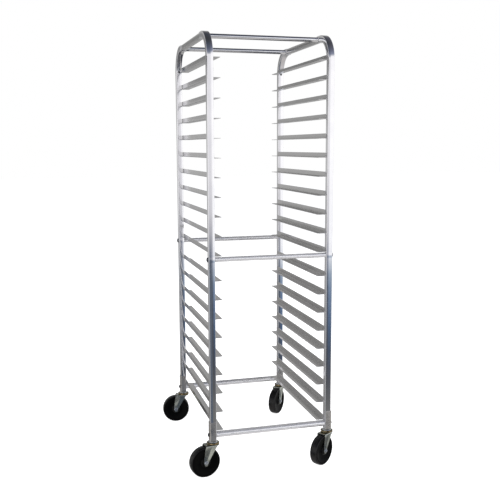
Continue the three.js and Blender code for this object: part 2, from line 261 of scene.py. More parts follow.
def square(half, radius, steps=4):
    corners = [(-half, -half), (half, -half), (half, half), (-half, half)]
    return rounded(corners, [radius] * 4, steps)


def hexagon(radius):
    return [(radius * math.cos(math.pi * k / 3), radius * math.sin(math.pi * k / 3)) for k in range(6)]


def quarter_turn(steps):
    """Sine and cosine of even steps from 0 to 90 degrees."""
    angles = [math.pi / 2 * k / steps for k in range(steps + 1)]
    return [(math.sin(angle), math.cos(angle)) for angle in angles]


def millimetres(*pairs):
    """A profile of [radius, height] pairs given in millimetres."""
    return [(radius * MM, height * MM) for radius, height in pairs]


def along_x(centre, sign=1):
    """A place whose Z axis points along +X or -X."""
    return Matrix.Translation(centre) @ Matrix.Rotation(sign * math.pi / 2, 4, "Y")


def piece(name, shape, body, materials, stands_for=(), bevel=0.0, solid=0.0):
    """Makes the shape an object on its body, with its edges eased."""
    mesh = bpy.data.meshes.new(name)
    mesh.from_pydata([tuple(p) for p in shape.points], [], shape.faces)
    grain = mesh.uv_layers.new(name="Grain")
    corners = [uv for face in shape.grain for uv in face]
    grain.data.foreach_set("uv", [c for uv in corners for c in uv])
    mesh.polygons.foreach_set("material_index", shape.slots)
    mesh.polygons.foreach_set("use_smooth", [True] * len(shape.faces))
    for material in materials:
        mesh.materials.append(material)
    mesh.validate()
    mesh.set_sharp_from_angle(angle=SMOOTH_BELOW)
    made = bpy.data.objects.new(name, mesh)
    scene.collection.objects.link(made)
    if solid:
        sheet = made.modifiers.new("Sheet", "SOLIDIFY")
        sheet.thickness = solid
        sheet.offset = -1
        sheet.use_even_offset = True
    if bevel:
        eased = made.modifiers.new("Eased", "BEVEL")
        eased.width = bevel
        eased.segments = 2
        eased.limit_method = "ANGLE"
        eased.angle_limit = SMOOTH_BELOW
        eased.harden_normals = True
    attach(made, body)
    if stands_for:
        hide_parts(*stands_for)


# ---------------------------------------------------------------------- materials


def link(tree, source, target):
    tree.links.new(source, target)


def node(tree, kind, **settings):
    made = tree.nodes.new(kind)
    for name, value in settings.items():
        setattr(made, name, value)
    return made


def noise(tree, vector, scale, detail=3.0, roughness=0.55, distortion=0.0):
    made = node(tree, "ShaderNodeTexNoise")
    made.inputs["Scale"].default_value = scale
    made.inputs["Detail"].default_value = detail
    made.inputs["Roughness"].default_value = roughness
    made.inputs["Distortion"].default_value = distortion
    link(tree, vector, made.inputs["Vector"])
    return made.outputs["Fac"]


def stretched(tree, vector, scale):
    made = node(tree, "ShaderNodeMapping")
    made.inputs["Scale"].default_value = scale
    link(tree, vector, made.inputs["Vector"])
    return made.outputs["Vector"]


def spread(tree, value, low, high, start=0.3, end=0.7):
    made = node(tree, "ShaderNodeMapRange")
    made.inputs["From Min"].default_value = start
    made.inputs["From Max"].default_value = end
    made.inputs["To Min"].default_value = low
    made.inputs["To Max"].default_value = high
    link(tree, value, made.inputs["Value"])
    return made.outputs["Result"]


def arithmetic(tree, operation, first, second):
    made = node(tree, "ShaderNodeMath", operation=operation)
    link(tree, first, made.inputs[0])
    link(tree, second, made.inputs[1])
    return made.outputs[0]


def added(tree, first, second):
    return arithmetic(tree, "ADD", first, second)


def multiplied(tree, first, second):
    return arithmetic(tree, "MULTIPLY", first, second)


def blend(tree, share, first, second):
    made = node(tree, "ShaderNodeMix", data_type="RGBA")
    colours = [s for s in made.inputs if s.type == "RGBA"]
    link(tree, share, made.inputs[0])
    for socket, colour in zip(colours, (first, second)):
        if isinstance(colour, bpy.types.NodeSocket):
            link(tree, colour, socket)
        else:
            socket.default_value = (*colour, 1)
    return next(s for s in made.outputs if s.type == "RGBA")


def relief(tree, height, depth):
    made = node(tree, "ShaderNodeBump")
    made.inputs["Strength"].default_value = 1.0
    made.inputs["Distance"].default_value = depth
    link(tree, height, made.inputs["Height"])
    return made.outputs["Normal"]


def empty_material(name):
    made = bpy.data.materials.new(name)
    made.use_nodes = True
    shader = made.node_tree.nodes["Principled BSDF"]
    return made, made.node_tree, shader


def metal(name, light, dark, rough, grain_size, grain_depth, mottle=14.0, purity=1.0):
    """Drawn or rolled metal: fine lines along the length, clouding, and a few dull spots.

    A lower purity leaves more of the plain pale sheen of a satin finish.
    """
    made, tree, shader = empty_material(name)
    shader.inputs["Metallic"].default_value = purity
    grain = node(tree, "ShaderNodeUVMap", uv_map="Grain").outputs["UV"]
    place = node(tree, "ShaderNodeTexCoord").outputs["Object"]
    drawn = stretched(tree, grain, (1 / grain_size, 6.0, 1.0))
    lines = noise(tree, drawn, 1.0, detail=4.0, roughness=0.6)
    clouds = noise(tree, place, mottle, detail=4.0, roughness=0.6, distortion=0.4)
    spots = noise(tree, place, mottle * 8, detail=2.0)
    tone = blend(tree, spread(tree, clouds, 0.0, 1.0), dark, light)
    shade = blend(tree, spread(tree, lines, 0.0, 0.35), tone, dark)
    link(tree, shade, shader.inputs["Base Color"])
    dull_spots = spread(tree, spots, 0.0, rough[1] * 0.2, start=0.45, end=0.8)
    link(tree, added(tree, spread(tree, clouds, *rough), dull_spots), shader.inputs["Roughness"])
    link(tree, relief(tree, lines, grain_depth), shader.inputs["Normal"])
    return made


def plated(name, light, dark, rough):
    """Zinc plate or chromate: blotchy colour over a faintly pitted sheet."""
    made, tree, shader = empty_material(name)
    shader.inputs["Metallic"].default_value = 1.0
    place = node(tree, "ShaderNodeTexCoord").outputs["Object"]
    blotches = noise(tree, place, 55.0, detail=4.0, roughness=0.6, distortion=1.2)
    pits = noise(tree, place, 900.0, detail=2.0)
    link(tree, blend(tree, spread(tree, blotches, 0.0, 1.0), dark, light), shader.inputs["Base Color"])
    link(tree, spread(tree, blotches, *rough), shader.inputs["Roughness"])
    link(tree, relief(tree, pits, PIT_DEPTH), shader.inputs["Normal"])
    return made


def rubber(name, light, dark, rough, shine):
    """Moulded black rubber with a faint bloom and a fine skin."""
    made, tree, shader = empty_material(name)
    place = node(tree, "ShaderNodeTexCoord").outputs["Object"]
    bloom = noise(tree, place, 38.0, detail=5.0, roughness=0.6, distortion=0.6)
    skin = noise(tree, place, 1600.0, detail=2.0)
    shader.inputs["Specular IOR Level"].default_value = shine
    link(tree, blend(tree, spread(tree, bloom, 0.0, 1.0), dark, light), shader.inputs["Base Color"])
    link(tree, spread(tree, bloom, *rough), shader.inputs["Roughness"])
    link(tree, relief(tree, skin, SKIN_DEPTH), shader.inputs["Normal"])
    return made


# Each has a light and a dark tone, then its least and greatest roughness
ALUMINIUM = metal("tube_aluminium", (0.93, 0.93, 0.94), (0.82, 0.82, 0.84), (0.045, 0.10),
                  grain_size=0.9 * MM, grain_depth=0.006 * MM)
SHEET = metal("runner_sheet", (0.69, 0.685, 0.68), (0.60, 0.595, 0.59), (0.15, 0.22),
              grain_size=1.2 * MM, grain_depth=0.01 * MM, mottle=9.0)
POLISHED = metal("bar_polished", (0.93, 0.94, 0.95), (0.84, 0.85, 0.87), (0.08, 0.13),
                 grain_size=1.2 * MM, grain_depth=0.008 * MM)
SATIN = metal("bar_satin", (0.90, 0.90, 0.91), (0.80, 0.80, 0.82), (0.15, 0.22),
              grain_size=1.0 * MM, grain_depth=0.006 * MM, purity=0.74)
SOCKET_METAL = metal("socket_metal", (0.72, 0.69, 0.65), (0.60, 0.57, 0.53), (0.22, 0.34),
                     grain_size=1.0 * MM, grain_depth=0.01 * MM, mottle=30.0)
WELD = plated("weld_metal", (0.80, 0.80, 0.81), (0.55, 0.55, 0.56), (0.28, 0.45))
FORK_STEEL = plated("fork_plate", (0.54, 0.56, 0.51), (0.38, 0.40, 0.36), (0.12, 0.22))
CUP_STEEL = plated("cup_plate", (0.20, 0.21, 0.17), (0.09, 0.095, 0.075), (0.20, 0.34))
# Painted warm reflection: the gold of the cup's band stands in for a warm light reflected in it, blotched
# like plate
PAINTED_WARM_REFLECTION = plated("band_painted_warm_reflection", (0.70, 0.52, 0.28), (0.46, 0.34, 0.18), (0.16, 0.28))
OLIVE = plated("race_olive", (0.30, 0.29, 0.20), (0.16, 0.155, 0.11), (0.20, 0.32))
BRIGHT_ZINC = plated("ring_zinc", (0.94, 0.95, 0.96), (0.82, 0.84, 0.86), (0.16, 0.28))
ZINC = plated("bolt_zinc", (0.62, 0.66, 0.70), (0.40, 0.42, 0.46), (0.14, 0.26))
DARK_BOLT = plated("bolt_dark", (0.13, 0.14, 0.15), (0.06, 0.065, 0.07), (0.28, 0.42))
RUBBER = rubber("wheel_rubber_black", (0.0008, 0.0008, 0.0009), (0.0003, 0.0003, 0.0004),
                (0.30, 0.42), shine=0.06)
TREAD = rubber("tread_rubber", (0.0030, 0.0028, 0.0028), (0.0015, 0.0015, 0.0015),
               (0.24, 0.34), shine=0.34)
HUB_PLASTIC = rubber("hub_black", (0.0015, 0.0015, 0.0016), (0.0008, 0.0008, 0.0009),
                     (0.28, 0.38), shine=0.12)


# ------------------------------------------------------------ places in the frame


def middle(name):
    low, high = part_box(name)
    return (low + high) / 2


def upright_axis(end, side):
    """The vertical axis of an upright, on the floor. Its cup is the widest round part."""
    low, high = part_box(f"upright_{end}_{side}")
    y = low.y + CUP_RADIUS if end == "front" else high.y - CUP_RADIUS
    return Vector(((low.x + high.x) / 2, y, 0))


top_of_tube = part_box("upright_front_left")[1].z
tube_centre = top_of_tube - TUBE / 2
middle_bar_height = middle("crossbar_middle_front").z
bottom_bar_height = middle("crossbar_bottom_front").z


# -------------------------------------------------------------------- the uprights


def pinch(height):
    """How far the tube is squeezed by the bolt at the middle bar, from 0 to 1."""
    away = abs(height - middle_bar_height) / PINCH_REACH
    return 0.0 if away >= 1 else 0.5 + 0.5 * math.cos(math.pi * away)


def upright_stations(axis, inwards):
    """Points, outward normals and squeeze along an upright, from its foot to its stub's end."""
    bend_start = tube_centre - BEND_RADIUS
    heights = [SOCKET_BOTTOM + TUBE_LIFT, SOCKET_BOTTOM + SOCKET_HEIGHT]
    steps = range(-PINCH_STEPS, PINCH_STEPS + 1)
    heights += [middle_bar_height + PINCH_REACH * k / PINCH_STEPS for k in steps]
    stations = [(axis + UP * z, -inwards, pinch(z)) for z in heights]
    for sine, cosine in quarter_turn(BEND_STEPS):
        spot = axis + inwards * BEND_RADIUS * (1 - cosine) + UP * (bend_start + BEND_RADIUS * sine)
        stations.append((spot, UP * sine - inwards * cosine, 0.0))
    end = axis + inwards * (STUB_END - TUBE / 2) + UP * tube_centre
    stations.append((end, UP, 0.0))
    return stations


def tube_rings(stations, outline):
    rings = []
    for spot, out, squeeze in stations:
        narrow, wide = 1 - PINCH_SHARE * squeeze, 1 + PINCH_SHARE * squeeze
        rings.append([spot + Vector((a * narrow, 0, 0)) + out * b * wide for a, b in outline])
    return rings


def tube(shape, stations):
    outer = tube_rings(stations, square(TUBE / 2, TUBE_CORNER))
    inner = tube_rings(stations, square(TUBE / 2 - TUBE_WALL, BORE_CORNER))
    return shape.loft(outer + inner[::-1], looped=True)


def add_upright(end, side):
    axis = upright_axis(end, side)
    inwards = Vector((0, -END_SIGN[end], 0))
    shape = tube(Shape(), upright_stations(axis, inwards))
    piece(f"upright_tube_{end}_{side}", shape, "rack", [ALUMINIUM],
          stands_for=(f"upright_{end}_{side}",), bevel=0.25 * MM)


def add_socket(end, side):
    """A sleeve round three faces of the tube. Its mouth faces the pans."""
    axis = upright_axis(end, side)
    inward = -SIDE_SIGN[side]
    near = TUBE / 2 + FIT / 3
    far = near + SOCKET_WALL
    mouth = inward * (TUBE / 2 - SOCKET_RECESS)
    corners = [(-inward * far, -far), (mouth, -far), (mouth, -near), (-inward * near, -near),
               (-inward * near, near), (mouth, near), (mouth, far), (-inward * far, far)]
    radii = [SOCKET_CORNER, 0, 0, FIT, FIT, 0, 0, SOCKET_CORNER]
    outline = rounded(corners, radii)
    place = Matrix.Translation(axis)
    shape = Shape().prism(outline, SOCKET_BOTTOM, SOCKET_BOTTOM + SOCKET_HEIGHT, place)
    piece(f"leg_socket_{end}_{side}", shape, "rack", [SOCKET_METAL], bevel=0.5 * MM)


def cup_dome():
    """Half section of the cup's dark dome and of the neck that carries the socket."""
    base = CUP_BOTTOM + CUP_BAND
    rise = CUP_TOP - base
    foot, shrink = CUP_RADIUS - 0.9 * MM, 7.5 * MM
    dome = [(foot - shrink * (1 - cosine), base + rise * sine) for sine, cosine in quarter_turn(8)]
    neck_top = SOCKET_BOTTOM - 0.2 * MM
    neck = [(NECK_RADIUS + 0.5 * MM, CUP_TOP + 0.3 * MM), (NECK_RADIUS, CUP_TOP + 0.8 * MM),
            (NECK_RADIUS, neck_top), (0, neck_top)]
    return [(0, base), *dome, *neck]


def cup_band():
    """Half section of the band round the foot of the cup. Its gold is a painted warm reflection."""
    top = CUP_BOTTOM + CUP_BAND
    return [(0, CUP_BOTTOM), (CUP_RADIUS - 1.0 * MM, CUP_BOTTOM), (CUP_RADIUS, CUP_BOTTOM + 0.8 * MM),
            (CUP_RADIUS, top), (CUP_RADIUS - 1.2 * MM, top + 0.5 * MM), (0, top + 0.5 * MM)]


def cup_ring():
    """Half section of the bright ring on top of the dome, a half round bead."""
    bead = []
    for k in range(RING_STEPS + 1):
        angle = math.pi * k / RING_STEPS - math.pi / 2
        radius = RING_RADIUS + 1.5 * MM * math.cos(angle)
        bead.append((radius, CUP_TOP + 1.2 * MM + 1.6 * MM * math.sin(angle)))
    return [(0, bead[0][1]), *bead, (0, bead[-1][1])]


def add_cup(end, side):
    """Upper race cup with its band, gold with a painted warm reflection, its bright ring, the kingpin and its
    nut.
    """
    place = Matrix.Translation(upright_axis(end, side))
    ease = 0.8 * MM
    pin = [(0, KINGPIN_BOTTOM), (AXLE_RADIUS - ease, KINGPIN_BOTTOM), (AXLE_RADIUS, KINGPIN_BOTTOM + ease),
           (AXLE_RADIUS, KINGPIN_TOP), (0, KINGPIN_TOP)]
    nut = rounded(hexagon(KINGPIN_NUT_RADIUS), [0.6 * MM] * 6, 2)
    shape = Shape().lathe(cup_dome(), place, RING_SIDES)
    shape.lathe(cup_band(), place, RING_SIDES, slot=2)
    shape.lathe(cup_ring(), place, RING_SIDES, slot=1)
    shape.lathe(pin, place, PIN_SIDES, slot=1)
    shape.prism(nut, KINGPIN_NUT_BOTTOM, KINGPIN_NUT_TOP, place, slot=1)
    piece(f"caster_cup_{end}_{side}", shape, "rack", [CUP_STEEL, BRIGHT_ZINC, PAINTED_WARM_REFLECTION],
          bevel=0.2 * MM)


def add_top_rail(side):
    low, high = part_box(f"top_rail_{side}")
    centre = (low + high) / 2
    half = (high.x - low.x) / 2
    outer, inner = square(half, TUBE_CORNER), square(half - TUBE_WALL, BORE_CORNER)
    rings = [
        [Vector((centre.x + a, y, centre.z + b)) for a, b in outline]
        for outline, y in ((outer, low.y), (outer, high.y), (inner, high.y), (inner, low.y))
    ]
    piece(f"rail_tube_{side}", Shape().loft(rings, looped=True), "rack", [SHEET],
          stands_for=(f"top_rail_{side}",), bevel=0.25 * MM)


# -------------------------------------------------------------- crossbars and bolts


def rippled(draws, step, depth, scatter):
    """The share of its full width that a weld bead has at a step of its run."""
    return 1 - depth + depth * math.cos(math.pi * step) + draws.uniform(-scatter, scatter)


def bead_ring(shape, place, radius, seed):
    """A weld bead round a bar's end."""
    draws = random.Random(seed)
    rings = []
    steps = 44
    for k in range(steps):
        angle = 2 * math.pi * k / steps
        size = RING_BEAD * rippled(draws, k, depth=0.14, scatter=0.05)
        out = Vector((math.cos(angle), math.sin(angle), 0))
        ring = []
        for sine, cosine in quarter_turn(6):
            ring.append(place @ (out * (radius - BEAD_ROOT + size * cosine) + UP * (size * sine - BEAD_ROOT)))
        ring.append(place @ (out * (radius - BEAD_UNDER) - UP * BEAD_UNDER))
        rings.append(ring)
    shape.loft(rings, looped=True, slot=1)


def add_crossbar(level, end):
    name = f"crossbar_{level}_{end}"
    centre = middle(name)
    low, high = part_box(name)
    radius = (high.z - low.z) / 2
    left, right = upright_axis(end, "left").x + TUBE / 2, upright_axis(end, "right").x - TUBE / 2
    half = (right - left) / 2 - FIT
    profile = [(0, -half), (radius - BAR_EASE, -half), (radius, BAR_EASE - half),
               (radius, half - BAR_EASE), (radius - BAR_EASE, half), (0, half)]
    shape = Shape().lathe(profile, along_x(centre), RING_SIDES)
    if level == "top":
        for sign in (-1, 1):
            at = centre + Vector((sign * (half + FIT), 0, 0))
            bead_ring(shape, along_x(at, -sign), radius, f"{name}{sign}")
    finish = POLISHED if level == "top" else SATIN
    piece(f"bar_{level}_{end}", shape, "rack", [finish, WELD], stands_for=(name,))


def add_dome_bolt(end, side):
    """A domed head on a washer, outside the upright at the middle bar."""
    sign = SIDE_SIGN[side]
    face = upright_axis(end, side).x + sign * TUBE / 2
    place = along_x(Vector((face, upright_axis(end, side).y, middle_bar_height)), sign)
    foot, brim = 1.2 * MM, 1.4 * MM
    dome = [(DOME_RADIUS * cosine, brim + (DOME_HEIGHT - brim) * sine) for sine, cosine in quarter_turn(10)]
    washer = millimetres((0, 0.05), (10.6, 0.05), (10.9, 0.4), (10.9, 1.0), (10.5, 1.3), (0, 1.3))
    shape = Shape().lathe([(0, foot), (DOME_RADIUS * 0.94, foot), *dome], place, BOLT_SIDES)
    shape.lathe(washer, place, BOLT_SIDES, slot=1)
    piece(f"dome_bolt_{end}_{side}", shape, "rack", [DARK_BOLT, ZINC])


def add_rivet(side):
    """A small dark rivet on the pan side of a rear upright, just where its bend starts."""
    axis = upright_axis("rear", side)
    height = tube_centre - BEND_RADIUS + RIVET_ABOVE_BEND
    spot = Vector((axis.x, axis.y - TUBE / 2, height))
    place = Matrix.Translation(spot) @ Matrix.Rotation(math.pi / 2, 4, "X")
    dome = [(RIVET_RADIUS * cosine, RIVET_RISE * sine) for sine, cosine in quarter_turn(8)]
    shape = Shape().lathe([(0, -FIT), (RIVET_RADIUS, -FIT), *dome], place, PIN_SIDES)
    piece(f"rivet_rear_{side}", shape, "rack", [DARK_BOLT])


def hex_head(shape, place, radius, height):
    """A hexagon with its top corners turned off."""
    outline = rounded(hexagon(radius), [0.4 * MM] * 6, 2)
    levels = [(1.0, 0.0), (1.0, height * 0.78), (0.9, height)]
    rings = [[place @ Vector((x * share, y * share, z)) for x, y in outline] for share, z in levels]
    shape.loft(rings, capped=True)


def add_hex_bolt(end, side):
    """A hex head on a washer, outside the leg socket at the bottom bar."""
    sign = SIDE_SIGN[side]
    axis = upright_axis(end, side)
    face = axis.x + sign * (TUBE / 2 + FIT / 3 + SOCKET_WALL)
    place = along_x(Vector((face, axis.y, bottom_bar_height)), sign)
    washer = millimetres((0, 0.05), (8.6, 0.05), (8.8, 0.4), (8.8, 0.9), (8.5, 1.2), (0, 1.2))
    shape = Shape()
    hex_head(shape, place @ Matrix.Translation((0, 0, 1.1 * MM)), HEX_RADIUS, HEX_HEIGHT)
    shape.lathe(washer, place, BOLT_SIDES, slot=1)
    piece(f"hex_bolt_{end}_{side}", shape, "rack", [DARK_BOLT, CUP_STEEL],
          bevel=0.2 * MM)


# -------------------------------------------------------------------------- runners


def runner_profile(web, flange):
    """Points (across, up) down the web's back, round the bend and out along the flange."""
    bend = [(RUNNER_BEND * (1 - cosine), RUNNER_BEND * (1 - sine)) for sine, cosine in quarter_turn(5)[1:]]
    corner = [(flange - RUNNER_CORNER * (1 - sine), 0) for sine, _ in quarter_turn(6)]
    return [(0, web), (0, web * 0.5), (0, RUNNER_BEND), *bend, (flange * 0.55, 0), *corner]


def corner_inset(across, flange):
    """How far the end of the flange is cut back where its free corner is rounded."""
    past = across - (flange - RUNNER_CORNER)
    if past <= 0:
        return 0.0
    return RUNNER_CORNER - math.sqrt(max(RUNNER_CORNER**2 - past**2, 0.0))


def corner_bead(shape, foot, out, along, length, seed):
    """A weld bead that runs up a corner. out and along are the two legs of the corner."""
    draws = random.Random(seed)
    steps = 26
    rings = []
    for k in range(steps + 1):
        share = k / steps
        taper = min(1.0, 6 * share + 0.25, 6 * (1 - share) + 0.25)
        size = CORNER_BEAD * taper * rippled(draws, k, depth=0.16, scatter=0.06)
        base = foot + UP * (length * share)
        ring = [base - (out + along) * BEAD_ROOT]
        for sine, cosine in quarter_turn(5):
            bulge = 0.86 + 0.2 * sine * cosine
            ring.append(base + (out * cosine + along * sine) * size * bulge)
        rings.append(ring)
    shape.loft(rings, capped=True)


def add_runner(side, index):
    """An angle with a gently uneven flange, and the beads that weld its ends to the uprights."""
    name = f"runner_{side}_{index:02d}"
    low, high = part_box(name)
    into = -SIDE_SIGN[side]
    back = low.x if into > 0 else high.x
    web, flange = high.z - low.z, high.x - low.x
    centre, half = (low.y + high.y) / 2, (high.y - low.y) / 2
    profile = runner_profile(web, flange)
    draws = random.Random(name)
    rings = []
    for step in (-1.0, -0.5, 0.0, 0.5, 1.0):
        lift = -RUNNER_SWAY * draws.uniform(-1.0, 0.0) if abs(step) < 1 else 0.0
        ring = []
        for across, up in profile:
            reach = half - corner_inset(across, flange)
            height = low.z + up + lift * (across / flange)
            ring.append(Vector((back + into * across, centre + step * reach, height)))
        rings.append(ring)
    # A right runner mirrors a left one, so its rings run the other way to face the same way
    if into < 0:
        rings = rings[::-1]
    sheet = Shape().loft(rings, closed=False)
    piece(f"pan_{name}", sheet, "rack", [SHEET],
          stands_for=(name,), solid=-RUNNER_SHEET, bevel=0.35 * MM)
    beads = Shape()
    for sign in (-1, 1):
        foot = Vector((back, centre + sign * half, low.z + BEAD_END))
        out, along = Vector((into, 0, 0)), Vector((0, sign, 0))
        corner_bead(beads, foot, out, along, web - 2 * BEAD_END, f"{name}{sign}")
    piece(f"bead_{name}", beads, "rack", [WELD])


# -------------------------------------------------------------------------- casters


def caster_place(end, side):
    """The caster's own frame on the floor: +X along its trail, and how long the trail is."""
    axis = upright_axis(end, side)
    wheel = middle(f"caster_wheel_{end}_{side}")
    trail = Vector((wheel.x - axis.x, wheel.y - axis.y, 0))
    turn = math.atan2(trail.y, trail.x)
    return Matrix.Translation(axis) @ Matrix.Rotation(turn, 4, "Z"), trail.length, wheel.z


def fork_half_path(axle_height):
    """Half width and height of the fork's sheet, from the crown's middle to a leg's tip."""
    flat = FORK_HALF - FORK_BEND
    path = [(flat * k / 5, CROWN_TOP) for k in range(6)]
    for sine, cosine in quarter_turn(6)[1:]:
        path.append((flat + FORK_BEND * sine, CROWN_TOP - FORK_BEND * (1 - cosine)))
    tip = axle_height - LEG_TIP_DROP
    levels = [LEG_SHOULDER + 2.5 * MM, LEG_SHOULDER, LEG_SHOULDER - 4 * MM]
    levels += [LEG_SHOULDER - 10 * MM - LEG_STEP * k for k in range(5)]
    levels += [axle_height, axle_height - 5 * MM, tip + 2 * MM, tip + 0.7 * MM, tip]
    return path + [(FORK_HALF, z) for z in levels]


def fork_edges(y, z, trail, axle_height):
    """Front and back of the fork's sheet at a point of its path."""
    if y <= FORK_HALF - FORK_BEND and z > CROWN_BOTTOM:
        return -math.sqrt(CROWN_RADIUS**2 - y**2), CROWN_REACH
    tip = axle_height - LEG_TIP_DROP
    crown_front = -math.sqrt(CROWN_RADIUS**2 - (FORK_HALF - FORK_BEND) ** 2)
    stops = [
        (CROWN_TOP, crown_front, CROWN_REACH),
        (CROWN_BOTTOM, CROWN_LEG_FRONT, CROWN_REACH + 0.2 * MM),
        (LEG_SHOULDER + 2 * MM, LEG_FRONT - 2 * MM, LEG_BACK - 0.6 * MM),
        (LEG_SHOULDER - 4 * MM, LEG_FRONT + 2 * MM, LEG_BACK + 0.4 * MM),
        (axle_height, trail - BOSS_RADIUS, trail + BOSS_RADIUS),
        (tip + 2 * MM, trail - LEG_TIP_RADIUS - 1.2 * MM, trail + LEG_TIP_RADIUS + 1.2 * MM),
        (tip, trail - LEG_TIP_RADIUS + 1.5 * MM, trail + LEG_TIP_RADIUS - 1.5 * MM),
    ]
    for (top, *above), (bottom, *below) in zip(stops, stops[1:]):
        if z >= bottom:
            share = (top - z) / (top - bottom)
            return [start + (stop - start) * share for start, stop in zip(above, below)]
    return stops[-1][1:]


def add_fork(end, side):
    """Crown and legs as one bent sheet.

    Each leg is pressed to a low ridge down its middle, which fades out at the bend and above
    the axle.
    """
    place, trail, axle_height = caster_place(end, side)
    path = fork_half_path(axle_height)
    full = [(-y, z) for y, z in path[:0:-1]] + path
    front_half = [0.0, 0.06, 0.2, 0.34, 0.44]
    columns = [*front_half, RIDGE, *(1 - share for share in reversed(front_half))]
    rings = []
    for y, z in full:
        front, rear = fork_edges(abs(y), z, trail, axle_height)
        below_bend = (CROWN_TOP - FORK_BEND - z) / (8 * MM)
        above_axle = (z - axle_height - 6 * MM) / (12 * MM)
        roll = ROLL_DEPTH * max(0.0, min(1.0, below_bend, above_axle))
        ring = []
        for share in columns:
            inward = math.copysign(roll * abs(share - RIDGE) / RIDGE, y)
            ring.append(place @ Vector((front + (rear - front) * share, y - inward, z)))
        rings.append(ring)
    shape = Shape().loft(rings, closed=False)
    piece(f"fork_{end}_{side}", shape, f"caster_{end}_{side}", [FORK_STEEL],
          stands_for=(f"caster_fork_{end}_{side}",), solid=FORK_SHEET, bevel=0.5 * MM)


def add_race(end, side):
    """The olive ring that turns under the cup, on top of the crown."""
    place, _, _ = caster_place(end, side)
    bore = AXLE_RADIUS + FIT
    ring = [(bore, CROWN_TOP), (RACE_RADIUS, CROWN_TOP), (RACE_RADIUS + 1.6 * MM, CROWN_TOP + 1.0 * MM),
            (RACE_RADIUS + 1.8 * MM, CROWN_TOP + 2.0 * MM), (RACE_RADIUS + 0.8 * MM, RACE_TOP - 0.5 * MM),
            (RACE_RADIUS - 1 * MM, RACE_TOP), (bore, RACE_TOP)]
    shape = Shape().lathe(ring, place, RING_SIDES)
    piece(f"swivel_race_{end}_{side}", shape, f"caster_{end}_{side}", [OLIVE], bevel=0.2 * MM)


def axle_place(end, side):
    """The axle's own frame at its middle, with +Z along the axle."""
    place, trail, axle_height = caster_place(end, side)
    return place @ Matrix.Translation((trail, 0, axle_height)) @ Matrix.Rotation(math.pi / 2, 4, "X")


def add_axle(end, side):
    """Axle, washers, hex head and nut, all held by the fork."""
    across = axle_place(end, side)
    face = FORK_HALF + 0.05 * MM
    shank = [(0, -face), (AXLE_RADIUS, -face), (AXLE_RADIUS, face), (0, face)]
    washer = millimetres((0, 0), (8.2, 0), (8.5, 0.3), (8.5, 1.0), (8.1, 1.3), (0, 1.3))
    tip = millimetres((0, 5.1), (3.4, 5.1), (3.0, 5.7), (0, 5.7))
    shape = Shape().lathe(shank, across, PIN_SIDES)
    for turn in (math.pi, 0):
        outward = across @ Matrix.Rotation(turn, 4, "X") @ Matrix.Translation((0, 0, face))
        shape.lathe(washer, outward, BOLT_SIDES)
        seat = outward @ Matrix.Translation((0, 0, 1.2 * MM))
        hex_head(shape, seat, AXLE_NUT_RADIUS, AXLE_NUT_HEIGHT)
        shape.lathe(tip, outward, PIN_SIDES)
    piece(f"axle_bolt_{end}_{side}", shape, f"caster_{end}_{side}", [ZINC], bevel=0.2 * MM)


def tire_profile():
    """Half of the wheel's section: the dished side and its shoulder, then the tread."""
    dish = [(HUB_RADIUS + 2 * MM, WHEEL_HALF - 3.0 * MM),
            (HUB_RADIUS + 8 * MM, WHEEL_HALF - 3.2 * MM),
            (WHEEL_RADIUS - 14 * MM, WHEEL_HALF - 1.6 * MM),
            (WHEEL_RADIUS - 12.4 * MM, WHEEL_HALF - 0.7 * MM),
            (WHEEL_RADIUS - 11 * MM, WHEEL_HALF - 0.9 * MM),
            (WHEEL_RADIUS - 8.4 * MM, WHEEL_HALF - 0.2 * MM)]
    edge = WHEEL_RADIUS - TREAD_CROWN * 0.35
    shoulder = [(edge - TREAD_SHOULDER * (1 - sine), WHEEL_HALF - TREAD_SHOULDER * (1 - cosine))
                for sine, cosine in quarter_turn(7)]
    crown = [(WHEEL_RADIUS - 0.1 * MM, 5 * MM), (WHEEL_RADIUS, 1.5 * MM)]
    return [*dish, *shoulder[:2]], [*shoulder[1:], *crown]


def mirrored(profile):
    return [(radius, -height) for radius, height in profile]


def add_wheel(end, side):
    """The tire, dull on its sides and glossier on its tread, and the hub that fills its middle."""
    across = axle_place(end, side)
    flank, tread = tire_profile()
    shape = Shape().lathe(mirrored(flank), across, WHEEL_SIDES, capped=False)
    shape.lathe(mirrored(tread) + tread[::-1], across, WHEEL_SIDES, slot=1, capped=False)
    shape.lathe(flank[::-1], across, WHEEL_SIDES, capped=False)
    body = f"wheel_{end}_{side}"
    piece(f"tire_{end}_{side}", shape, body, [RUBBER, TREAD],
          stands_for=(f"caster_wheel_{end}_{side}",))
    bore = AXLE_RADIUS + 0.4 * MM
    half = [(bore, HUB_HALF), (10.5 * MM, HUB_HALF), (11.2 * MM, HUB_HALF - 0.6 * MM),
            (14.5 * MM, HUB_HALF - 0.8 * MM), (HUB_RADIUS, HUB_HALF - 2 * MM),
            (HUB_RADIUS + 2.2 * MM, WHEEL_HALF - 3.0 * MM)]
    section = mirrored(half) + half[::-1] + [(bore, -HUB_HALF)]
    hub = Shape().lathe(section, across, RING_SIDES, capped=False)
    piece(f"hub_{end}_{side}", hub, body, [HUB_PLASTIC], bevel=0.2 * MM)


for end, side in PLACES:
    add_upright(end, side)
    add_socket(end, side)
    add_cup(end, side)
    add_dome_bolt(end, side)
    add_hex_bolt(end, side)
    add_fork(end, side)
    add_race(end, side)
    add_axle(end, side)
    add_wheel(end, side)
for end in END_SIGN:
    for level in ("top", "middle", "bottom"):
        add_crossbar(level, end)
for side in SIDE_SIGN:
    add_top_rail(side)
    add_rivet(side)
    for index in range(1, RUNNER_COUNT + 1):
        add_runner(side, index)


# ------------------------------------------------------------ floor, studio, camera


